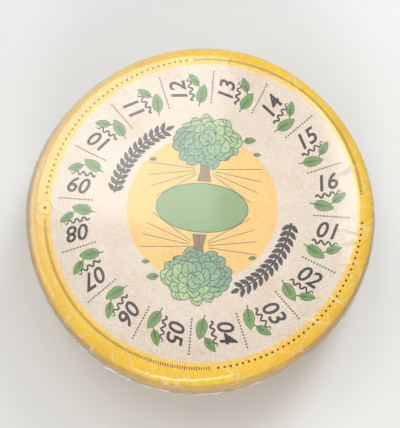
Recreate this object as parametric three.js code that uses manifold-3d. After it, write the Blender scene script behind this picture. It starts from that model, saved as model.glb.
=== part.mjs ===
// A round semi-hard cheese: one barrel-sided wheel with its rind, a printed paper disc
// stuck on top, and two webs of clear film sealed together round the side.
// Millimetres, +Z up, origin at the middle of the underside.

import * as THREE from 'three';
import { mergeVertices } from 'three/addons/utils/BufferGeometryUtils.js';
import Module from 'manifold-3d';

// Driving dimensions
const CHEESE_RADIUS = 149; // widest, at mid-height
const CHEESE_HEIGHT = 78.2;
const SIDE_ARC_RADIUS = 115; // the barrel side bulges on this arc
const SHOULDER_RADIUS = 13;
const FILM_WALL = 0.3;
const PAPER_WALL = 0.3;
const CLEARANCE = 0.3; // between pieces that lie against each other
const LABEL_EDGE_DROP = 7.6; // below the cheese's top face, on the Y axis
const LABEL_EDGE_TIP = 3.6; // more on +X and less on -X: the disc is stuck 4 mm off centre
const SEAM_HEIGHT = 36; // of the seal between the two webs of film
const FIN_WIDTH = 2.4; // how far the sealed edge stands out

// How finely the round shapes are divided
const TURN_STEPS = 64;
const SIDE_STEPS = 8;
const SHOULDER_STEPS = 6;

// Heights and offsets worked out from them
const CHEESE_BASE = FILM_WALL + CLEARANCE;
const CHEESE_TOP = CHEESE_BASE + CHEESE_HEIGHT;
const CHEESE_MIDDLE = CHEESE_BASE + CHEESE_HEIGHT / 2;
const LABEL_INNER = CLEARANCE;
const LABEL_OUTER = LABEL_INNER + PAPER_WALL;
const LOWER_FILM_INNER = CLEARANCE;
const LOWER_FILM_OUTER = LOWER_FILM_INNER + FILM_WALL;
const UPPER_FILM_INNER = LABEL_OUTER + CLEARANCE;
const UPPER_FILM_OUTER = UPPER_FILM_INNER + FILM_WALL;
const FIN_TIP = CHEESE_RADIUS + UPPER_FILM_OUTER + FIN_WIDTH;

// The cheese's outline is two flat faces, two shoulder arcs and one side arc, all tangent.
const SIDE_CENTRE = CHEESE_RADIUS - SIDE_ARC_RADIUS;
const SHOULDER_RISE = CHEESE_HEIGHT / 2 - SHOULDER_RADIUS;
const TANGENT_ANGLE = Math.asin(SHOULDER_RISE / (SIDE_ARC_RADIUS - SHOULDER_RADIUS));
const SHOULDER_CENTRE = SIDE_CENTRE + (SIDE_ARC_RADIUS - SHOULDER_RADIUS) * Math.cos(TANGENT_ANGLE);

// A point of the outline, moved out by an offset. The angle is that of the surface's normal
// above the level, from -90 degrees under the base to +90 degrees on the top.
function outlinePoint(angle, offset) {
  const onSide = Math.abs(angle) <= TANGENT_ANGLE;
  const radius = (onSide ? SIDE_ARC_RADIUS : SHOULDER_RADIUS) + offset;
  const centreR = onSide ? SIDE_CENTRE : SHOULDER_CENTRE;
  const centreZ = CHEESE_MIDDLE + (onSide ? 0 : Math.sign(angle) * SHOULDER_RISE);
  return new THREE.Vector2(centreR + radius * Math.cos(angle), centreZ + radius * Math.sin(angle));
}

// The angle at which the side, moved out by an offset, passes through a height.
function sideAngleAt(height, offset) {
  return Math.asin((height - CHEESE_MIDDLE) / (SIDE_ARC_RADIUS + offset));
}

// Outline points between two normal angles, in steps that end exactly on each tangent point.
function outline(fromAngle, toAngle, offset) {
  const stops = [-Math.PI / 2, -TANGENT_ANGLE, TANGENT_ANGLE, Math.PI / 2];
  const inner = stops.filter((stop) => stop > fromAngle && stop < toAngle);
  const ends = [fromAngle, ...inner, toAngle];
  const points = [outlinePoint(fromAngle, offset)];
  for (let piece = 1; piece < ends.length; piece++) {
    const start = ends[piece - 1];
    const end = ends[piece];
    const onSide = Math.abs((start + end) / 2) < TANGENT_ANGLE;
    const wholeTurn = onSide ? 2 * TANGENT_ANGLE : Math.PI / 2 - TANGENT_ANGLE;
    const wholeSteps = onSide ? SIDE_STEPS : SHOULDER_STEPS;
    const steps = Math.max(1, Math.round((wholeSteps * (end - start)) / wholeTurn));
    for (let step = 1; step <= steps; step++) {
      points.push(outlinePoint(start + ((end - start) * step) / steps, offset));
    }
  }
  return points;
}

function onAxis(height) {
  return new THREE.Vector2(0, height);
}

// Turns a profile, listed from the bottom up its outside, about the Z axis.
function turned(profile) {
  const geometry = new THREE.LatheGeometry(profile, TURN_STEPS);
  geometry.rotateX(Math.PI / 2);
  return geometry;
}

function named(name, geometry, finish) {
  const mesh = new THREE.Mesh(geometry, new THREE.MeshStandardMaterial(finish));
  mesh.name = name;
  return mesh;
}

function cheeseWheel() {
  const profile = [
    onAxis(CHEESE_BASE),
    ...outline(-Math.PI / 2, Math.PI / 2, 0),
    onAxis(CHEESE_TOP),
  ];
  return named('cheese_wheel', turned(profile), { color: 0xcda45c, roughness: 0.7, metalness: 0 });
}

// The paper lies on the top face and laps over the shoulder. Its edge lies in a tipped plane.
function topLabel(kernel) {
  const lowest = sideAngleAt(CHEESE_TOP - 2 * LABEL_EDGE_DROP, 0);
  const outer = outline(lowest, Math.PI / 2, LABEL_OUTER);
  const inner = outline(lowest, Math.PI / 2, LABEL_INNER).reverse();
  const skin = turned([
    ...outer,
    onAxis(CHEESE_TOP + LABEL_OUTER),
    onAxis(CHEESE_TOP + LABEL_INNER),
    ...inner,
    outer[0].clone(),
  ]);

  const blockSize = 3 * CHEESE_RADIUS;
  const block = new THREE.BoxGeometry(blockSize, blockSize, blockSize);
  block.translate(0, 0, blockSize / 2);
  block.rotateY(Math.atan2(LABEL_EDGE_TIP, CHEESE_RADIUS));
  block.translate(0, 0, CHEESE_TOP - LABEL_EDGE_DROP);

  const paper = asSolid(kernel, skin).intersect(asSolid(kernel, block));
  return named('top_label', asGeometry(paper), { color: 0xe6d6c4, roughness: 0.75, metalness: 0 });
}

// The lower web is a shallow cup: base, lower shoulder and side, with the fin at its rim.
function filmLower() {
  const finTop = SEAM_HEIGHT - CLEARANCE / 2;
  const finUnder = finTop - FILM_WALL;
  const profile = [
    onAxis(0),
    ...outline(-Math.PI / 2, sideAngleAt(finUnder, LOWER_FILM_OUTER), LOWER_FILM_OUTER),
    new THREE.Vector2(FIN_TIP, finUnder),
    new THREE.Vector2(FIN_TIP, finTop),
    ...outline(-Math.PI / 2, sideAngleAt(finTop, LOWER_FILM_INNER), LOWER_FILM_INNER).reverse(),
    onAxis(FILM_WALL),
  ];
  return named('film_lower', turned(profile), filmFinish());
}

// The upper web is the same cup turned over, and passes over the label.
function filmUpper() {
  const finUnder = SEAM_HEIGHT + CLEARANCE / 2;
  const finTop = finUnder + FILM_WALL;
  const profile = [
    onAxis(CHEESE_TOP + UPPER_FILM_INNER),
    ...outline(sideAngleAt(finUnder, UPPER_FILM_INNER), Math.PI / 2, UPPER_FILM_INNER).reverse(),
    new THREE.Vector2(FIN_TIP, finUnder),
    new THREE.Vector2(FIN_TIP, finTop),
    ...outline(sideAngleAt(finTop, UPPER_FILM_OUTER), Math.PI / 2, UPPER_FILM_OUTER),
    onAxis(CHEESE_TOP + UPPER_FILM_OUTER),
  ];
  return named('film_upper', turned(profile), filmFinish());
}

function filmFinish() {
  return { color: 0xf4f2ea, roughness: 0.15, metalness: 0, transparent: true, opacity: 0.3 };
}

// A closed three.js geometry as a solid that can be cut, and back again.
function asSolid(kernel, geometry) {
  const bare = geometry.clone();
  bare.deleteAttribute('normal');
  bare.deleteAttribute('uv');
  const welded = mergeVertices(bare, 1e-4);
  const vertProperties = Float32Array.from(welded.getAttribute('position').array);
  const triVerts = Uint32Array.from(welded.getIndex().array);
  return new kernel.Manifold(new kernel.Mesh({ numProp: 3, vertProperties, triVerts }));
}

function asGeometry(solid) {
  const { vertProperties, triVerts } = solid.getMesh();
  const geometry = new THREE.BufferGeometry();
  geometry.setAttribute('position', new THREE.BufferAttribute(vertProperties, 3));
  geometry.setIndex(new THREE.BufferAttribute(triVerts, 1));
  geometry.computeVertexNormals();
  return geometry;
}

const kernel = await Module();
kernel.setup();

const cheese = new THREE.Group();
cheese.add(cheeseWheel());
cheese.add(topLabel(kernel));
cheese.add(filmLower());
cheese.add(filmUpper());

export default cheese;
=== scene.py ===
import bpy
import numpy as np
from mathutils import Matrix, Vector
from mathutils.geometry import delaunay_2d_cdt


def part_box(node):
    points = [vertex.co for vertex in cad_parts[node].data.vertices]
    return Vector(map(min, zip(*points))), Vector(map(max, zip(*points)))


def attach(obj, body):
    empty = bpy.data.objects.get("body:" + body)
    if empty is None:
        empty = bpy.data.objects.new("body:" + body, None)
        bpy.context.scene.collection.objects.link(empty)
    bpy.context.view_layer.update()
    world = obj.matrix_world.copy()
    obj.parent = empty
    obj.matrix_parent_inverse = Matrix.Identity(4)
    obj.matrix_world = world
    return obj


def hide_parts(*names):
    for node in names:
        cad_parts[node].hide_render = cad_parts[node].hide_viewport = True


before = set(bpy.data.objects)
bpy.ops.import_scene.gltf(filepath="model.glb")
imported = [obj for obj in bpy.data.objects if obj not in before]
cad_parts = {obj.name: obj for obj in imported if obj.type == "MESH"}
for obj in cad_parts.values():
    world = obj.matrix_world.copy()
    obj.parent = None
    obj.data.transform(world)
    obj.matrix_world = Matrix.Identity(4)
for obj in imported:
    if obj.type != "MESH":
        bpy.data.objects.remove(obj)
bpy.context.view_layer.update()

bpy.context.scene.view_settings.view_transform = "Standard"


# ---- The room: camera, floor and lights ----------------------------------------------------
# The wheel lies on a pale bench and is seen from nearly overhead through a long lens. Soft lights
# stand behind it, above it and to its left. A low strip in front catches the film on the
# shoulder, and two lights that the film doesn't mirror lighten the front and the right.

def stand_looking(place, aim):
    """A matrix at place whose -Z looks at aim, with its X level with the room's X axis."""
    back = np.subtract(place, aim)
    back = back / np.linalg.norm(back)
    right = np.cross((0.0, 1.0, 0.0), back)
    right = right / np.linalg.norm(right)
    up = np.cross(back, right)
    matrix = Matrix.Identity(4)
    for row in range(3):
        matrix[row] = (right[row], up[row], back[row], place[row])
    return matrix


def make_camera(place, aim, lens_mm):
    """A camera without depth of field, through which the rest pose is seen."""
    data = bpy.data.cameras.new("view_camera")
    data.lens = lens_mm
    data.sensor_width = 36.0
    data.clip_start = 0.01
    camera = bpy.data.objects.new("view_camera", data)
    camera.matrix_world = stand_looking(place, aim)
    bpy.context.scene.collection.objects.link(camera)
    bpy.context.scene.camera = camera


def make_light(name, place, aim, size, watts, colour, mirrored=True):
    """A rectangular soft light at place, facing aim; glossy things show it if it is mirrored."""
    data = bpy.data.lights.new(name, "AREA")
    data.shape = "RECTANGLE"
    data.size, data.size_y = size
    data.energy = watts
    data.color = colour
    light = bpy.data.objects.new(name, data)
    light.matrix_world = stand_looking(place, aim)
    light.visible_glossy = mirrored
    bpy.context.scene.collection.objects.link(light)


def make_world(colour, strength):
    """An even pale surround."""
    world = bpy.data.worlds.new("pale_room")
    world.use_nodes = True
    surround = world.node_tree.nodes["Background"]
    surround.inputs["Color"].default_value = (*colour, 1.0)
    surround.inputs["Strength"].default_value = strength
    bpy.context.scene.world = world


def make_floor(reach, colour):
    """A flat square of matt paint at the height the wheel stands on, which the film and the
    other glossy things don't mirror."""
    mesh = bpy.data.meshes.new("floor")
    corners = [(-reach, -reach, 0), (reach, -reach, 0), (reach, reach, 0), (-reach, reach, 0)]
    mesh.from_pydata(corners, [], [(0, 1, 2, 3)])
    floor = bpy.data.objects.new("floor", mesh)
    bpy.context.scene.collection.objects.link(floor)
    paint = bpy.data.materials.new("floor_paint")
    paint.use_nodes = True
    shader = paint.node_tree.nodes["Principled BSDF"]
    shader.inputs["Base Color"].default_value = (*colour, 1.0)
    shader.inputs["Roughness"].default_value = 0.8
    shader.inputs["Specular IOR Level"].default_value = 0.2
    mesh.materials.append(paint)
    floor.visible_glossy = False


make_camera(place=(0.0514, -0.1778, 0.7920), aim=(0.0030, -0.0057, 0.0794), lens_mm=74.64)
WARM, NEUTRAL, COOL = (1.0, 0.98, 0.95), (1.0, 0.99, 0.97), (0.90, 0.96, 1.0)
at_side, at_top = (0, 0, 0.05), (0, 0, 0.08)
make_light("window_behind_left", (-0.37, 0.72, 1.26), at_side, (0.76, 0.90), 6.5, NEUTRAL)
make_light("panel_behind_right", (0.36, 0.46, 1.30), at_top, (0.30, 0.60), 2.4, NEUTRAL)
make_light("panel_overhead", (-0.11, 0.26, 1.45), at_top, (0.46, 0.40), 0.65, NEUTRAL)
make_light("softbox_right", (0.75, 1.05, 0.95), at_side, (0.8, 0.5), 17.0, COOL, mirrored=False)
make_light("panel_left", (-1.30, 0.15, 0.75), at_side, (0.6, 1.2), 3.4, NEUTRAL)
make_light("low_strip_front", (-0.25, -1.45, 0.66), at_side, (1.1, 0.30), 6.0, WARM)
make_light("fill_front", (0.30, -1.60, 0.75), at_side, (1.4, 0.8), 20.5, NEUTRAL, mirrored=False)
make_world((1.0, 0.99, 0.97), 0.32)
make_floor(3.0, (0.62, 0.62, 0.61))


# ---- The cheese ----------------------------------------------------------------------------
# One pressed and ripened wheel with a barrel side. Its rind is dry, yellow-tan and brushed, with
# the prints of shelf and cloth in it. It formed in one piece, so it is one closed mesh.

wheel_low, wheel_high = (np.array(corner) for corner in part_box("cheese_wheel"))
WHEEL_RADIUS = wheel_high[0]
WHEEL_TOP = wheel_high[2]
WHEEL_MIDDLE = (wheel_low[2] + wheel_high[2]) / 2
MILLIMETRE = 1e-3
SIDE_ARC = 0.115
SHOULDER_ARC = 0.013
SIDE_CENTRE = WHEEL_RADIUS - SIDE_ARC
SHOULDER_RISE = WHEEL_TOP - WHEEL_MIDDLE - SHOULDER_ARC
TANGENT = np.arcsin(SHOULDER_RISE / (SIDE_ARC - SHOULDER_ARC))
FLAT_RADIUS = SIDE_CENTRE + (SIDE_ARC - SHOULDER_ARC) * np.cos(TANGENT)
SHOULDER_LENGTH = SHOULDER_ARC * (np.pi / 2 - TANGENT)
SIDE_LENGTH = 2 * SIDE_ARC * TANGENT
TO_MIDDLE = FLAT_RADIUS + SHOULDER_LENGTH + SIDE_LENGTH / 2
OUTLINE_LENGTH = 2 * TO_MIDDLE


def outline(along, lift):
    """(radius, height) on the wheel's outline at a distance along it from the middle of the top,
    moved out by lift: a flat, a shoulder arc, the side arc, then the same again below."""
    stops = np.cumsum([0, FLAT_RADIUS, SHOULDER_LENGTH, SIDE_LENGTH, SHOULDER_LENGTH, FLAT_RADIUS])
    upright = np.pi / 2
    tilt = np.interp(along, stops, [upright, upright, TANGENT, -TANGENT, -upright, -upright])
    on_side = np.abs(tilt) <= TANGENT
    arc = np.where(on_side, SIDE_ARC, SHOULDER_ARC) + lift
    centre = np.where(on_side, SIDE_CENTRE, FLAT_RADIUS)
    rise = np.where(on_side, 0.0, np.sign(tilt) * SHOULDER_RISE)
    inside = np.clip(FLAT_RADIUS - np.minimum(along, OUTLINE_LENGTH - along), 0.0, None)
    return centre + arc * np.cos(tilt) - inside, WHEEL_MIDDLE + rise + arc * np.sin(tilt)


def smooth_noise(points, cell, seed):
    """Random numbers from -1 to 1 on a cubic lattice of that cell, blended smoothly between its
    corners and read at the points, an array whose last axis is x, y, z."""
    cells = 32
    lattice = np.random.default_rng(seed).uniform(-1, 1, (cells, cells, cells))
    at = np.asarray(points) / cell
    corner = np.floor(at).astype(int)
    part = at - corner
    part = part * part * (3 - 2 * part)
    total = np.zeros(at.shape[:-1])
    for step in np.ndindex(2, 2, 2):
        index = (corner + step) % cells
        weight = np.prod(np.where(np.array(step) == 1, part, 1 - part), axis=-1)
        total += weight * lattice[index[..., 0], index[..., 1], index[..., 2]]
    return total


def out_of_true(turn, along):
    """How far the surface lies off its true outline, as a lift: four slow swellings and finer
    waves round the side, and a slight hollow in the top and base, all in millimetres."""
    from_face = np.minimum(along, OUTLINE_LENGTH - along) - FLAT_RADIUS
    beside = np.clip(from_face / SHOULDER_LENGTH, 0, 1) ** 1.5
    waves = 0.85 * np.cos(4 * turn + 0.56) + 0.2 * np.sin(2 * turn + 0.6) + 0.15 * np.sin(7 * turn)
    hollow = 0.35 * np.cos(np.pi * np.clip(along / FLAT_RADIUS, 0, 1)) + 0.35
    return MILLIMETRE * (beside * (waves - 0.2) - (1 - beside) * hollow)


def on_wheel(turn, along, lift):
    """Points round the wheel's axis at those turns and distances along the outline."""
    radius, height = outline(along, lift + out_of_true(turn, along))
    return np.stack([radius * np.cos(turn), radius * np.sin(turn), height], -1)


def closed_round(name, grid):
    """A mesh from a grid of points (rows along an outline, columns round the axis): the columns
    join up, and the first and last rows are drawn into one point each."""
    rows, columns = grid.shape[:2]
    index = np.arange(rows * columns).reshape(rows, columns)
    right = np.roll(index, -1, axis=1)
    quads = np.stack([index[:-1], index[1:], right[1:], right[:-1]], -1).reshape(-1, 4)
    points = np.vstack([grid.reshape(-1, 3), grid[0].mean(0), grid[-1].mean(0)])
    first, last = rows * columns, rows * columns + 1
    caps = [np.stack([np.full(columns, first), index[0], right[0]], -1)]
    caps.append(np.stack([np.full(columns, last), right[-1], index[-1]], -1))
    mesh = bpy.data.meshes.new(name)
    mesh.from_pydata(points.tolist(), [], quads.tolist() + np.vstack(caps).tolist())
    mesh.shade_smooth()
    piece = bpy.data.objects.new(name, mesh)
    bpy.context.scene.collection.objects.link(piece)
    return piece


def spread(start, stop, steps):
    """Even steps between two distances along the outline, without the last."""
    return np.linspace(start, stop, steps, endpoint=False)


def make_cheese():
    """The outline turned about the axis, with rind pits, brush lines and soft lumps as lifts in
    millimetres. The rings are close together on the side and the rims, and wide on the flats."""
    round_steps, flat_rings, side_rings = 720, 14, 100
    top_pole, base_pole = 0.004, 0.003
    top_end = FLAT_RADIUS * 0.9
    along = np.concatenate([
        spread(top_pole, top_end, flat_rings),
        spread(top_end, OUTLINE_LENGTH - top_end, side_rings),
        spread(OUTLINE_LENGTH - top_end, OUTLINE_LENGTH - base_pole, flat_rings),
    ])[:, None]
    turn = spread(0, 2 * np.pi, round_steps)[None, :]
    bare = on_wheel(turn, along, 0.0)
    lumps = 0.30 * smooth_noise(bare, 0.017, 3) + 0.12 * smooth_noise(bare, 0.006, 4)
    brushed = 0.05 * smooth_noise(bare * (1, 1, 4), 0.004, 5)
    pits = -0.25 * np.clip(smooth_noise(bare, 0.005, 6) - 0.45, 0, 1)
    sunk = 0.35
    lift = MILLIMETRE * (lumps + brushed + pits - sunk)
    return closed_round("cheese_with_rind", on_wheel(turn, along, lift))


def node(tree, kind, **settings):
    """A shader node of that kind with its properties set."""
    made = tree.nodes.new(kind)
    for key, value in settings.items():
        setattr(made, key, value)
    return made


def make_mottling():
    """A node group that every finish here uses: the amount of a fractal noise of some scale and
    detail, read at a place that is first stretched along the axes."""
    group = bpy.data.node_groups.new("mottling", "ShaderNodeTree")
    for name in ("Place", "Stretch"):
        group.interface.new_socket(name, in_out="INPUT", socket_type="NodeSocketVector")
    for name in ("Scale", "Detail"):
        group.interface.new_socket(name, in_out="INPUT", socket_type="NodeSocketFloat")
    group.interface.new_socket("Amount", in_out="OUTPUT", socket_type="NodeSocketFloat")
    given = node(group, "NodeGroupInput").outputs
    stretched = node(group, "ShaderNodeMapping")
    group.links.new(given["Place"], stretched.inputs["Vector"])
    group.links.new(given["Stretch"], stretched.inputs["Scale"])
    texture = node(group, "ShaderNodeTexNoise")
    group.links.new(stretched.outputs["Vector"], texture.inputs["Vector"])
    group.links.new(given["Scale"], texture.inputs["Scale"])
    group.links.new(given["Detail"], texture.inputs["Detail"])
    group.links.new(texture.outputs["Fac"], node(group, "NodeGroupOutput").inputs["Amount"])
    return group


MOTTLING = make_mottling()


def noise(tree, place, scale, detail, stretch=(1.0, 1.0, 1.0)):
    """The amount of mottling at a place socket, with its own scale, detail and stretch."""
    made = node(tree, "ShaderNodeGroup", node_tree=MOTTLING)
    tree.links.new(place, made.inputs["Place"])
    made.inputs["Scale"].default_value = scale
    made.inputs["Detail"].default_value = detail
    made.inputs["Stretch"].default_value = stretch
    return made.outputs["Amount"]


def ramp(tree, value, stops):
    """Colours by value, from a list of (position, colour)."""
    made = node(tree, "ShaderNodeValToRGB")
    while len(made.color_ramp.elements) < len(stops):
        made.color_ramp.elements.new(0.5)
    for element, (position, colour) in zip(made.color_ramp.elements, stops):
        element.position = position
        element.color = (*colour, 1.0)
    tree.links.new(value, made.inputs["Fac"])
    return made.outputs["Color"]


def blend(tree, factor, first, second, mode="MIX"):
    """The second colour laid over the first by a factor; each is a socket or a plain value."""
    made = node(tree, "ShaderNodeMix", data_type="RGBA", blend_type=mode)
    for name, value in (("Factor", factor), ("A", first), ("B", second)):
        socket = [s for s in made.inputs if s.name == name and s.enabled][0]
        if isinstance(value, bpy.types.NodeSocket):
            tree.links.new(value, socket)
        else:
            socket.default_value = value if name == "Factor" else (*value, 1.0)
    return [s for s in made.outputs if s.enabled][0]


def math(tree, operation, *values):
    """The result of a maths operation on sockets and plain numbers."""
    made = node(tree, "ShaderNodeMath", operation=operation)
    for socket, value in zip(made.inputs, values):
        if isinstance(value, bpy.types.NodeSocket):
            tree.links.new(value, socket)
        else:
            socket.default_value = value
    return made.outputs[0]


def bump(tree, height, distance):
    """A normal tilted by the slope of a height."""
    made = node(tree, "ShaderNodeBump")
    made.inputs["Distance"].default_value = distance
    tree.links.new(height, made.inputs["Height"])
    return made.outputs["Normal"]


def rind_material():
    """Golden-tan rind: finely mottled, with broad browner stains, a pale bloom and brush grain."""
    material = bpy.data.materials.new("brushed_rind")
    material.use_nodes = True
    tree = material.node_tree
    shader = tree.nodes["Principled BSDF"]
    place = node(tree, "ShaderNodeTexCoord").outputs["Object"]
    mottle = noise(tree, place, 60.0, 6.0, (1.0, 1.0, 1.6))
    colour = ramp(tree, mottle, [
        (0.30, (0.54, 0.315, 0.072)),
        (0.50, (0.61, 0.370, 0.092)),
        (0.70, (0.67, 0.425, 0.125)),
    ])
    stain = noise(tree, place, 11.0, 4.0)
    stain = ramp(tree, stain, [(0.45, (0, 0, 0)), (0.75, (0.45, 0.45, 0.45))])
    colour = blend(tree, stain, colour, (0.46, 0.25, 0.055))
    bloom = noise(tree, place, 210.0, 5.0)
    bloom = ramp(tree, bloom, [(0.54, (0, 0, 0)), (0.74, (0.35, 0.35, 0.35))])
    colour = blend(tree, bloom, colour, (0.82, 0.67, 0.40))
    tree.links.new(colour, shader.inputs["Base Color"])
    grain = noise(tree, place, 620.0, 4.0, (1.0, 1.0, 2.5))
    tree.links.new(bump(tree, grain, 0.0006), shader.inputs["Normal"])
    shader.inputs["Roughness"].default_value = 0.62
    shader.inputs["Subsurface Weight"].default_value = 0.08
    shader.inputs["Subsurface Radius"].default_value = (0.006, 0.003, 0.0012)
    shader.inputs["Subsurface Scale"].default_value = 1.0
    return material


cheese = make_cheese()
cheese.data.materials.append(rind_material())
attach(cheese, "root")
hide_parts("cheese_wheel")


# ---- The label -----------------------------------------------------------------------------
# A disc of thin uncoated paper, printed in yellow, greens, brown and dark grey, and stuck on the
# top 4 mm off centre. Its rim folds down over the shoulder. The print's sizes are in mm on the
# flat sheet, from the disc's middle, and are turned to metres as the sheet is laid.

PAPER_RADIUS = 147.3
FIELD_RADIUS = 127.5
SUN_RADIUS = 63.0
RIM_SIDES = 256
LABEL_MIDDLE = np.array([4.46, -0.14])
PRINT_TURN = np.radians(-5.0)
PAPER_LIFT = 0.00025
PAPER_THICKNESS = 0.0001

PAPER = (0.735, 0.630, 0.535)
YELLOW = (0.880, 0.560, 0.014)
YELLOW_INNER = (0.930, 0.600, 0.110)
INK = (0.022, 0.016, 0.017)
LEAF = (0.165, 0.340, 0.075)
LEAF_DARK = (0.024, 0.095, 0.035)
MEADOW = (0.220, 0.360, 0.150)
BUSH_SHADE = (0.190, 0.350, 0.250)
BUSH_LIGHT = (0.460, 0.610, 0.290)
STEM = (0.300, 0.160, 0.085)
SUN = (0.850, 0.550, 0.160)

shapes = []


def turned(points, angle):
    """Points turned about the origin, anticlockwise."""
    cosine, sine = np.cos(angle), np.sin(angle)
    return np.asarray(points) @ np.array([[cosine, sine], [-sine, cosine]])


def polar(radius, angle):
    """The point at that radius and angle, or the points for arrays of them."""
    return np.stack(np.broadcast_arrays(radius * np.cos(angle), radius * np.sin(angle)), -1)


def paint(points, colour):
    """Puts a closed outline on the print, over what is there, turned to run anticlockwise."""
    points = np.asarray(points, float)
    after = np.roll(points, -1, axis=0)
    doubled_area = np.sum(points[:, 0] * after[:, 1] - after[:, 0] * points[:, 1])
    shapes.append((points if doubled_area > 0 else points[::-1], colour))


def disc(centre, radius, colour, sides=8, squash=1.0):
    """A filled circle, or an ellipse when squashed in height."""
    corners = polar(radius, spread(0, 2 * np.pi, sides)) * (1.0, squash)
    paint(np.asarray(centre) + corners, colour)


def stroke(path, width, colour):
    """A line drawn along a path of points, with a width in all or one for each point."""
    path = np.asarray(path, float)
    slope = np.gradient(path, axis=0)
    side = np.stack([-slope[:, 1], slope[:, 0]], -1) / np.linalg.norm(slope, axis=1)[:, None]
    half = np.broadcast_to(np.asarray(width, float) / 2, len(path))[:, None]
    left, right = path + side * half, path - side * half
    for step in range(len(path) - 1):
        paint([left[step], left[step + 1], right[step + 1], right[step]], colour)


def leaf_outline(length, width, steps=9, base=0.6, point=0.85):
    """A leaf from its base at the origin to its tip on the X axis. Its half-width rises from the
    base and falls to the tip as two powers, the blunter the lower they are."""
    part = np.linspace(0, 1, steps)
    widest = base / (base + point)
    half = width / 2 * (part / widest) ** base * ((1 - part) / (1 - widest)) ** point
    upper = np.stack([part * length, half], -1)
    lower = np.stack([part * length, -half], -1)
    return np.vstack([upper, lower[-2:0:-1]])


def leaf(root, angle, length, width, colour, stalk=4.0, veins=3, edge=0.5, base=0.6, point=0.85):
    """A leaf with a dark edge, a midrib that runs on into its stalk, and side veins."""
    def lay(points):
        return turned(points, angle) + root

    outside = leaf_outline(length + 2.4 * edge, width + 2 * edge, base=base, point=point)
    paint(lay(outside - (edge, 0.0)), LEAF_DARK)
    paint(lay(leaf_outline(length, width, base=base, point=point)), colour)
    stroke(lay([(-stalk, 0), (0, 0), (length * 0.85, 0)]), (1.0, 0.9, 0.4), LEAF_DARK)
    for vein in range(veins):
        start = length * (0.16 + 0.17 * vein)
        reach = width * (0.32 - 0.04 * vein)
        for side in (-1, 1):
            stroke(lay([(start, 0), (start + reach, side * reach)]), (0.7, 0.45), LEAF_DARK)


def field_and_border():
    """The yellow border, which pales inwards as a square, and the plain field, as discs from the
    outside in. The field's inner discs only add points, so that the sheet can bend."""
    for radius in spread(PAPER_RADIUS, FIELD_RADIUS, 13):
        part = (PAPER_RADIUS - radius) / (PAPER_RADIUS - FIELD_RADIUS)
        blended = np.array(YELLOW) * (1 - part ** 2) + np.array(YELLOW_INNER) * part ** 2
        disc((0, 0), radius, tuple(blended), RIM_SIDES)
    for radius in (FIELD_RADIUS, 112.0, 90.0, 73.0):
        disc((0, 0), radius, PAPER, RIM_SIDES)


def border_marks():
    """A ring of dots on two quarters of the border and a fine scale on the other two, with a
    ringed dot where the one gives way to the other. The steps run clockwise."""
    ring = 131.9
    dot_angles = np.radians(np.arange(-1.6, -80.0, -2.158))
    tick_angles = np.radians(np.arange(-82.5, -171.5, -0.85))
    dot_radius, tick_width, short_tick, long_tick = 1.0, 0.76, 2.4, 3.4
    for half in (0, np.pi):
        for angle in dot_angles:
            disc(polar(ring, angle + half), dot_radius, INK)
        for count, angle in enumerate(tick_angles):
            length = long_tick if count % 5 == 0 else short_tick
            ends = polar(np.array([ring - length / 2, ring + length / 2]), angle + half)
            stroke(ends, tick_width, INK)
    mark = polar(ring, np.radians(-175.9))
    for radius, colour, sides in ((6.4, INK, 32), (6.1, YELLOW_INNER, 32), (1.3, INK, 12)):
        disc(mark, radius, colour, sides)


def numeral_triangles(text, size, slant=0.22, boldness=0.018):
    """The triangles of a numeral set in bold slanted type, centred on the origin."""
    curve = bpy.data.curves.new("numeral", "FONT")
    curve.body = text
    curve.size = size
    curve.align_x = "CENTER"
    curve.align_y = "CENTER"
    curve.shear = slant
    curve.offset = boldness * size
    curve.resolution_u = 3
    holder = bpy.data.objects.new("numeral", curve)
    mesh = holder.to_mesh()
    points = np.empty(3 * len(mesh.vertices))
    mesh.vertices.foreach_get("co", points)
    points = points.reshape(-1, 3)[:, :2]
    least_area = 1e-3
    triangles = [points[list(face.vertices)] for face in mesh.polygons if face.area > least_area]
    holder.to_mesh_clear()
    bpy.data.objects.remove(holder)
    bpy.data.curves.remove(curve)
    return triangles


def sector_marks(sectors=16):
    """Sixteen equal sectors, each with a dotted line, a numeral over a wavy rule, and a large and
    a small leaf. The rule is a sine that thins as a cube towards its end."""
    divider, divider_dot = np.linspace(92.8, 120.9, 12), 0.8
    numeral_size, rule_length, rule_swing, rule_waves = 19.0, 21.0, 1.7, 3.5
    for sector in range(sectors):
        start = -2 * np.pi * sector / sectors

        def at(radius, degrees):
            return polar(radius, start - np.radians(degrees))

        for radius in divider:
            disc(at(radius, 0.0), divider_dot, INK)
        facing = start - np.radians(5.5)
        for corners in numeral_triangles(f"{sector + 1:02d}", numeral_size):
            paint(turned(corners, facing) + at(104.5, 7.0), INK)
        run = np.linspace(0, 1, 25)
        swing = rule_swing * np.sin(run * rule_waves * 2 * np.pi)
        wave = np.stack([rule_length * (run - 0.5), swing], -1)
        stroke(turned(wave, facing) + at(105.0, 12.4), 1.7 - run ** 3, INK)
        large, small = start - np.radians(31.0), start + np.radians(19.0)
        leaf(at(92.4, 16.5), large, 16.5, 8.4, LEAF, stalk=3.4)
        leaf(at(108.2, 16.0), small, 12.8, 5.9, LEAF, stalk=2.4, veins=2)


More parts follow.
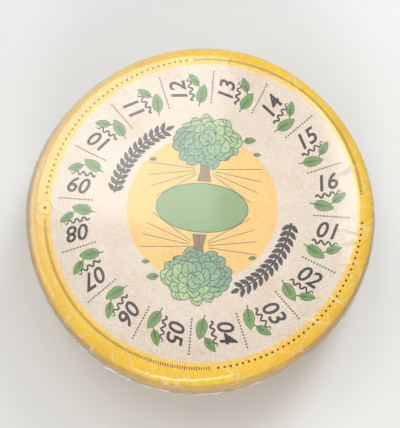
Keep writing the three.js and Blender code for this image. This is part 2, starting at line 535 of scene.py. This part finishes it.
def branch(middle_degrees):
    """A laurel-like branch on an arc, dark, with leaves on both sides that lean along it."""
    radius, half_span, steps = 75.0, 27.5, 40
    bend = np.radians(middle_degrees + np.linspace(half_span, -half_span, steps))
    stroke(polar(radius, bend), np.linspace(2.2, 1.2, steps), INK)
    for angle in bend[1:-1:3]:
        for side in (-1, 1):
            base = polar(radius + side * 0.6, angle)
            lean = angle - np.pi / 2 + side * np.radians(48.0)
            paint(turned(leaf_outline(8.4, 4.0, 7), lean) + base, INK)
    paint(turned(leaf_outline(8.0, 4.0, 7), bend[-1] - np.pi / 2) + polar(radius, bend[-1]), INK)


def posy(up):
    """A bunch of leaves on a brown stem, above the middle or below it, darker on the left and
    lighter on the right, drawn from the outside in."""
    chance = np.random.default_rng(11)
    centre, half_wide, half_high = np.array([0.0, 58.0]), 21.5, 15.0
    for foot, width in ((-4.6, 2.6), (-1.6, 3.0), (1.5, 2.8), (4.4, 2.4)):
        stalk = turned([(foot, 22.5), (foot * 0.55, 31.0), (foot * 0.7, 42.0)], up)
        stroke(stalk, width + 0.8, LEAF_DARK)
        stroke(stalk, width, STEM)
    for ring, count in ((1.0, 16), (0.78, 14), (0.54, 10), (0.30, 6), (0.05, 2)):
        for step in range(count):
            angle = 2 * np.pi * (step + chance.uniform(-0.3, 0.3) + ring) / count
            reach = ring * chance.uniform(0.92, 1.05)
            spot = np.array([np.cos(angle) * half_wide, np.sin(angle) * half_high]) * reach
            light = 0.45 + 0.60 * ring * np.sin(angle + 0.75) + chance.uniform(-0.25, 0.25)
            light = np.clip(light, 0, 1)
            colour = tuple(np.array(BUSH_SHADE) * (1 - light) + np.array(BUSH_LIGHT) * light)
            outward = np.arctan2(spot[1] * 1.4, spot[0])
            heading = outward + chance.uniform(-0.4, 0.4) / max(ring, 0.2)
            root = turned(centre + spot - polar(3.8, heading), up)
            size = chance.uniform(11.0, 14.0)
            leaf(root, heading + up, size, 0.84 * size, colour, 0.3, 1, 0.6, base=0.45, point=0.62)


def centre_picture():
    """A yellow disc with fine rays, a plain green oval, and a posy above and below. A ray ends at
    its full length or a little inside the disc's edge, where it meets that circle."""
    disc((0, 0), SUN_RADIUS, SUN, 128)
    limit, ray_start, ray_end = SUN_RADIUS - 2.0, 8.0, 48.0
    for up in (0.0, np.pi):
        root = np.array([0.0, 33.0])
        for degrees in (-171, -159, -147, -33, -21, -9, 4, 176):
            heading = polar(1.0, np.radians(degrees))
            to_edge = np.sqrt(limit ** 2 - root @ root + (root @ heading) ** 2) - root @ heading
            ends = [root + heading * ray_start, root + heading * min(ray_end, to_edge)]
            stroke(turned(ends, up), 0.55, LEAF_DARK)
    disc((0, 0), 38.7, LEAF_DARK, 64, squash=0.549)
    disc((0, 0), 38.0, MEADOW, 64, squash=0.54)
    loose_leaves = (((31, 60), 8, 9.0), ((40, 48.5), 2, 5.0), ((-47, 39), 10, 5.0))
    for up in (0.0, np.pi):
        posy(up)
        for spot, degrees, size in loose_leaves:
            leaf(turned(spot, up), np.radians(degrees) + up, size, size * 0.55, LEAF, 1.2, 1)


def lay_on_wheel(flat, lift):
    """Flat sheet points in mm, laid on the wheel: the distance from the wheel's axis on the flat
    becomes the distance along its outline, so the sheet folds down over the shoulder."""
    spot = (turned(flat, PRINT_TURN) + LABEL_MIDDLE) / 1000.0
    along = np.hypot(spot[:, 0], spot[:, 1])
    return on_wheel(np.arctan2(spot[:, 1], spot[:, 0]), along, lift)


def make_label():
    """All outlines are cut into one sheet of triangles, each coloured by the last outline that
    covers it. The sheet's copy below and a strip round the rim close it."""
    field_and_border()
    border_marks()
    sector_marks()
    branch(-33.5)
    branch(146.5)
    centre_picture()

    points = np.vstack([points for points, colour in shapes])
    ends = np.cumsum([len(points) for points, colour in shapes])
    loops = [list(range(end - len(shape[0]), end)) for end, shape in zip(ends, shapes)]
    corners = [Vector(point) for point in points]
    cut_inside, merge_within = 1, 1e-4
    flat, _, faces, _, _, covers = delaunay_2d_cdt(corners, [], loops, cut_inside, merge_within)
    flat = np.array([tuple(point) for point in flat])
    faces = np.array(faces)
    ink = np.array([shapes[max(cover)][1] for cover in covers])

    top = lay_on_wheel(flat, PAPER_LIFT + PAPER_THICKNESS)
    under = lay_on_wheel(flat, PAPER_LIFT)
    count = len(flat)
    rim = np.flatnonzero(np.hypot(flat[:, 0], flat[:, 1]) > PAPER_RADIUS - 0.02)
    rim = rim[np.argsort(np.arctan2(flat[rim, 1], flat[rim, 0]))]
    after = np.roll(rim, -1)
    edge = np.vstack([
        np.stack([rim, rim + count, after + count], -1),
        np.stack([rim, after + count, after], -1),
    ])
    triangles = np.vstack([faces, faces[:, ::-1] + count, edge])
    mesh = bpy.data.meshes.new("printed_label")
    mesh.from_pydata(np.vstack([top, under]).tolist(), [], triangles.tolist())
    mesh.shade_smooth()
    tint = np.vstack([ink, np.tile(PAPER, (len(faces) + len(edge), 1))])
    tint = np.hstack([np.repeat(tint, 3, axis=0), np.ones((3 * len(tint), 1))])
    layer = mesh.color_attributes.new("print", "FLOAT_COLOR", "CORNER")
    layer.data.foreach_set("color", tint.ravel())
    piece = bpy.data.objects.new("printed_label", mesh)
    bpy.context.scene.collection.objects.link(piece)
    return piece


def paper_material():
    """Uncoated printed paper: the print's colours, broken by fibres, with damp pinkish patches."""
    material = bpy.data.materials.new("printed_paper")
    material.use_nodes = True
    tree = material.node_tree
    shader = tree.nodes["Principled BSDF"]
    place = node(tree, "ShaderNodeTexCoord").outputs["Object"]
    colour = node(tree, "ShaderNodeAttribute", attribute_name="print").outputs["Color"]
    fibres = noise(tree, place, 700.0, 3.0)
    fibres = ramp(tree, fibres, [(0.34, (0.82, 0.79, 0.76)), (0.66, (1.0, 1.0, 1.0))])
    colour = blend(tree, 1.0, colour, fibres, "MULTIPLY")
    damp = noise(tree, place, 28.0, 4.0)
    damp = ramp(tree, damp, [(0.50, (1, 1, 1)), (0.75, (0.95, 0.86, 0.80))])
    colour = blend(tree, 1.0, colour, damp, "MULTIPLY")
    tree.links.new(colour, shader.inputs["Base Color"])
    tree.links.new(bump(tree, noise(tree, place, 900.0, 3.0), 0.0002), shader.inputs["Normal"])
    shader.inputs["Roughness"].default_value = 0.7
    return material


label = make_label()
label.data.materials.append(paper_material())
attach(label, "root")
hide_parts("top_label")


# ---- The film ------------------------------------------------------------------------------
# Two webs of thin clear shrink film, one over the top and one under the base. They are welded
# together round the side in a crumpled fin, and pull tight over the shoulders in small pleats.
# A whitening painted on the left of the upper shoulder stands for a light's reflection in it.

FILM_LIFT = 0.00055
FILM_THICKNESS = 0.0001
BASE_LIFT = 0.0003
PLEAT_HEIGHT = 0.0003
FOLD_HEIGHT = 0.0005
fin_low, fin_high = (np.array(corner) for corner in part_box("film_upper"))
SEAM_HEIGHT = fin_low[2]
FIN_REACH = fin_high[0]


def pleats(turn, along, count, seed, start, length, tallest):
    """Creases in the film: each is a narrow ridge that starts near a distance along the outline,
    runs a random length, slants a little, and fades at both ends."""
    chance = np.random.default_rng(seed)
    height = np.zeros(np.broadcast_shapes(turn.shape, along.shape))
    for _ in range(count):
        where = chance.uniform(0, 2 * np.pi)
        slant = chance.normal(0, 0.9)
        middle = start + chance.normal(0, 0.35) * length
        half = length * chance.uniform(0.25, 0.6)
        width = chance.uniform(0.0008, 0.0016)
        amount = tallest * chance.uniform(0.25, 1.0)
        across = (turn - where + np.pi) % (2 * np.pi) - np.pi
        offset = across * WHEEL_RADIUS - slant * (along - middle)
        height += amount * np.exp(-(offset / width) ** 2 - ((along - middle) / half) ** 2)
    return height


def above_base(along):
    """1 over the top and the side, falling to 0 over the lower shoulder, where the wheel stands
    on the film."""
    return np.clip((OUTLINE_LENGTH - FLAT_RADIUS - along) / SHOULDER_LENGTH, 0, 1)


def film_folds(turn, along):
    """How far the film stands up in pleats: on both shoulders, on the side, and in a few long
    folds that run slantwise over the upper shoulder. There are none where the wheel stands."""
    upper_start = FLAT_RADIUS + 0.7 * SHOULDER_LENGTH
    lower_start = OUTLINE_LENGTH - FLAT_RADIUS - 0.008
    upper = pleats(turn, along, 150, 21, upper_start, 0.013, PLEAT_HEIGHT)
    lower = pleats(turn, along, 110, 22, lower_start, 0.012, PLEAT_HEIGHT)
    side = pleats(turn, along, 130, 23, TO_MIDDLE - 0.004, 0.016, PLEAT_HEIGHT)
    folds = pleats(turn, along, 16, 24, FLAT_RADIUS + 0.010, 0.020, FOLD_HEIGHT)
    return above_base(along) * np.minimum(upper + lower + side + folds, FOLD_HEIGHT)


def film_lift(along):
    """The film's lift over the wheel where it isn't folded, least where the wheel stands on it."""
    return BASE_LIFT + above_base(along) * (FILM_LIFT - BASE_LIFT)


def painted_veil(turn, along):
    """A painted reflection: how much whiter the film is made, to stand for the veil of a light's
    reflection, from 0 to 1: most on the left of the upper shoulder, less down the side, with
    specks, and clear over the flat."""
    from_left = (turn - np.radians(155.0) + np.pi) % (2 * np.pi) - np.pi
    painted_veil_round_left = np.exp(-(from_left / np.radians(48.0)) ** 2)
    over_edge = np.clip((along - 0.95 * FLAT_RADIUS) / 0.012, 0, 1)
    over_edge = over_edge * (1 - 0.6 * np.clip((along - TO_MIDDLE + 0.025) / 0.02, 0, 1))
    specks = smooth_noise(on_wheel(turn, along, 0.0), 0.005, 33)
    return over_edge * painted_veil_round_left * (0.8 + 0.25 * specks)


def seam_wave(turn):
    """How far the weld wanders up and down from its level, in metres."""
    slow = 0.0016 * np.sin(3 * turn + 1.0)
    return slow + 0.0009 * np.sin(11 * turn) + 0.0005 * np.sin(37 * turn)


def ragged_reach(turn):
    """How far the fin stands out round the wheel: short where it lies flat, with torn points.
    The noise is read on a ring of about the wheel's radius."""
    ring = polar(0.15, turn)[..., None, :] @ np.eye(2, 3)
    slow = smooth_noise(ring, 0.045, 32)[..., 0]
    quick = smooth_noise(ring, 0.0025, 31)[..., 0]
    stands = 0.10 + 0.35 * np.cos(turn + 2.5) + 0.5 * slow
    return 0.0002 + 0.0022 * np.clip(stands + 0.6 * quick * np.clip(0.3 + stands, 0, 1), 0, 1)


ALONG_TO_SEAM = TO_MIDDLE + (WHEEL_MIDDLE - SEAM_HEIGHT)


def make_web(name, upper):
    """One web: out along the outline to the seam on its outside, round the fin, and back on its
    inside. The lower web is the same from the base up."""
    round_steps, flat_rings, side_rings = 900, 8, 40
    pole, flat_end = 0.003, FLAT_RADIUS * 0.93
    to_seam = ALONG_TO_SEAM if upper else OUTLINE_LENGTH - ALONG_TO_SEAM
    turn = spread(0, 2 * np.pi, round_steps)[None, :]
    near = np.concatenate([
        spread(pole, flat_end, flat_rings),
        np.linspace(flat_end, to_seam, side_rings),
    ])[:, None]
    weld = seam_wave(turn)
    side = 1.0 if upper else -1.0
    share = np.clip((near - FLAT_RADIUS) / (near[-1] - FLAT_RADIUS), 0, 1) ** 2
    along = near - side * weld * share if upper else OUTLINE_LENGTH - near - weld * share
    folded = film_folds(turn, along)
    lift = film_lift(along) + folded
    outside = on_wheel(turn, along, lift + FILM_THICKNESS)
    inside = on_wheel(turn, along, lift)

    fin = []
    weld_gap, tip_margin = 0.00003, 0.0001
    seam_radius = np.hypot(outside[-1][:, 0], outside[-1][:, 1])
    tip_radius = np.minimum(seam_radius + ragged_reach(turn[0]), FIN_REACH - tip_margin)
    flutter = 0.0006 * np.sin(61 * turn[0]) + 0.0008 * np.sin(23 * turn[0] + 2.0)
    for part, face in ((0.3, 1), (0.65, 1), (1.0, 1), (1.0, 0), (0.65, 0), (0.3, 0)):
        radius = seam_radius + (tip_radius - seam_radius) * part
        level = (SEAM_HEIGHT + weld[0] + flutter * part) + side * (weld_gap + face * FILM_THICKNESS)
        fin.append(np.stack([radius * np.cos(turn[0]), radius * np.sin(turn[0]), level], -1))
    grid = np.concatenate([outside, np.array(fin), inside[::-1]])
    # A painted reflection: the film is whitened on the left of the upper shoulder to stand for a
    # light's veil, on top of the whitening at its folds.
    painted_veil_amount = painted_veil(turn, along)
    faces = np.maximum(folded / FOLD_HEIGHT, painted_veil_amount)
    creases_and_painted_veil = np.concatenate([faces, np.ones((len(fin), turn.size)), faces[::-1]])
    web = closed_round(name, grid if upper else grid[::-1])
    creases_and_painted_veil = np.append((creases_and_painted_veil if upper else creases_and_painted_veil[::-1]).ravel(), [0.0, 0.0])
    layer = web.data.attributes.new("creases_and_painted_veil", "FLOAT", "POINT")
    layer.data.foreach_set("value", creases_and_painted_veil.astype(np.float32))
    return web


def film_material():
    """Clear glossy film: mostly what lies under it, with a broad and a sharp shine on its outside
    that grow at grazing angles, and whitened at its creases and by a painted reflection on the
    left of the upper shoulder. A fine ripple breaks the shine, and beside the wheel a network
    of fine creases does."""
    ripple_gain, crease_gain, relief = 16.0, 14.0, 0.00002
    broad_roughness, sharp_roughness, sharp_share = 0.24, 0.08, 0.4
    shine_facing, shine_grazing, whiteness = 0.10, 0.12, 0.34
    material = bpy.data.materials.new("clear_film")
    material.use_nodes = True
    tree = material.node_tree
    tree.nodes.remove(tree.nodes["Principled BSDF"])
    output = tree.nodes["Material Output"]
    place = node(tree, "ShaderNodeTexCoord").outputs["Object"]
    height = node(tree, "ShaderNodeSeparateXYZ")
    tree.links.new(place, height.inputs[0])
    beside = node(tree, "ShaderNodeMapRange", interpolation_type="SMOOTHSTEP")
    beside.inputs["From Min"].default_value = WHEEL_TOP + 0.0005
    beside.inputs["From Max"].default_value = WHEEL_TOP - 0.005
    tree.links.new(height.outputs["Z"], beside.inputs["Value"])
    ripple = noise(tree, place, 160.0, 4.0, (1.0, 1.0, 0.4))
    stretched = node(tree, "ShaderNodeMapping")
    stretched.inputs["Scale"].default_value = (1.0, 1.0, 0.6)
    tree.links.new(place, stretched.inputs["Vector"])
    ridges = node(tree, "ShaderNodeTexNoise", noise_type="RIDGED_MULTIFRACTAL")
    ridges.inputs["Scale"].default_value = 90.0
    ridges.inputs["Detail"].default_value = 3.0
    tree.links.new(stretched.outputs["Vector"], ridges.inputs["Vector"])
    crease = math(tree, "MULTIPLY", ridges.outputs["Fac"], beside.outputs["Result"])
    rippled = math(tree, "MULTIPLY_ADD", beside.outputs["Result"], ripple_gain, 1.0)
    ripple = math(tree, "MULTIPLY", ripple, rippled)
    normal = bump(tree, math(tree, "MULTIPLY_ADD", crease, crease_gain, ripple), relief)

    veil = node(tree, "ShaderNodeBsdfGlossy")
    veil.inputs["Roughness"].default_value = broad_roughness
    glint = node(tree, "ShaderNodeBsdfGlossy")
    glint.inputs["Roughness"].default_value = sharp_roughness
    gloss = node(tree, "ShaderNodeMixShader")
    gloss.inputs[0].default_value = sharp_share
    for lobe, socket in ((veil, gloss.inputs[1]), (glint, gloss.inputs[2])):
        tree.links.new(normal, lobe.inputs["Normal"])
        tree.links.new(lobe.outputs[0], socket)
    clear = node(tree, "ShaderNodeBsdfTransparent")
    clear.inputs["Color"].default_value = (0.985, 0.985, 0.98, 1.0)
    facing = node(tree, "ShaderNodeLayerWeight")
    facing.inputs["Blend"].default_value = 0.5
    tree.links.new(normal, facing.inputs["Normal"])
    grazing = math(tree, "POWER", facing.outputs["Facing"], 5.0)
    shine = math(tree, "MULTIPLY_ADD", grazing, shine_grazing, shine_facing)
    inside = node(tree, "ShaderNodeNewGeometry").outputs["Backfacing"]
    outside = math(tree, "SUBTRACT", 1.0, inside)
    shining = node(tree, "ShaderNodeMixShader")
    tree.links.new(math(tree, "MULTIPLY", shine, outside), shining.inputs[0])
    tree.links.new(clear.outputs[0], shining.inputs[1])
    tree.links.new(gloss.outputs[0], shining.inputs[2])

    # This whitening holds the folds and the painted reflection on the left shoulder; the sharp
    # creases of the bump add to it.
    creases_and_painted_veil = node(tree, "ShaderNodeAttribute", attribute_name="creases_and_painted_veil").outputs["Fac"]
    sharp = ramp(tree, crease, [(0.55, (0, 0, 0)), (0.95, (1, 1, 1))])
    creases_and_painted_veil = math(tree, "MAXIMUM", creases_and_painted_veil, math(tree, "MULTIPLY", sharp, 0.45))
    white = node(tree, "ShaderNodeBsdfDiffuse")
    white.inputs["Color"].default_value = (0.86, 0.86, 0.84, 1.0)
    whitened = node(tree, "ShaderNodeMixShader")
    creases_and_painted_veil = math(tree, "MULTIPLY", creases_and_painted_veil, outside)
    tree.links.new(math(tree, "MULTIPLY", creases_and_painted_veil, whiteness), whitened.inputs[0])
    tree.links.new(shining.outputs[0], whitened.inputs[1])
    tree.links.new(white.outputs[0], whitened.inputs[2])
    tree.links.new(whitened.outputs[0], output.inputs["Surface"])
    return material


clear_film = film_material()
for web_name, cad_node, is_upper in (
    ("film_over_top", "film_upper", True),
    ("film_under_base", "film_lower", False),
):
    web = make_web(web_name, is_upper)
    web.data.materials.append(clear_film)
    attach(web, "root")
    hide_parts(cad_node)
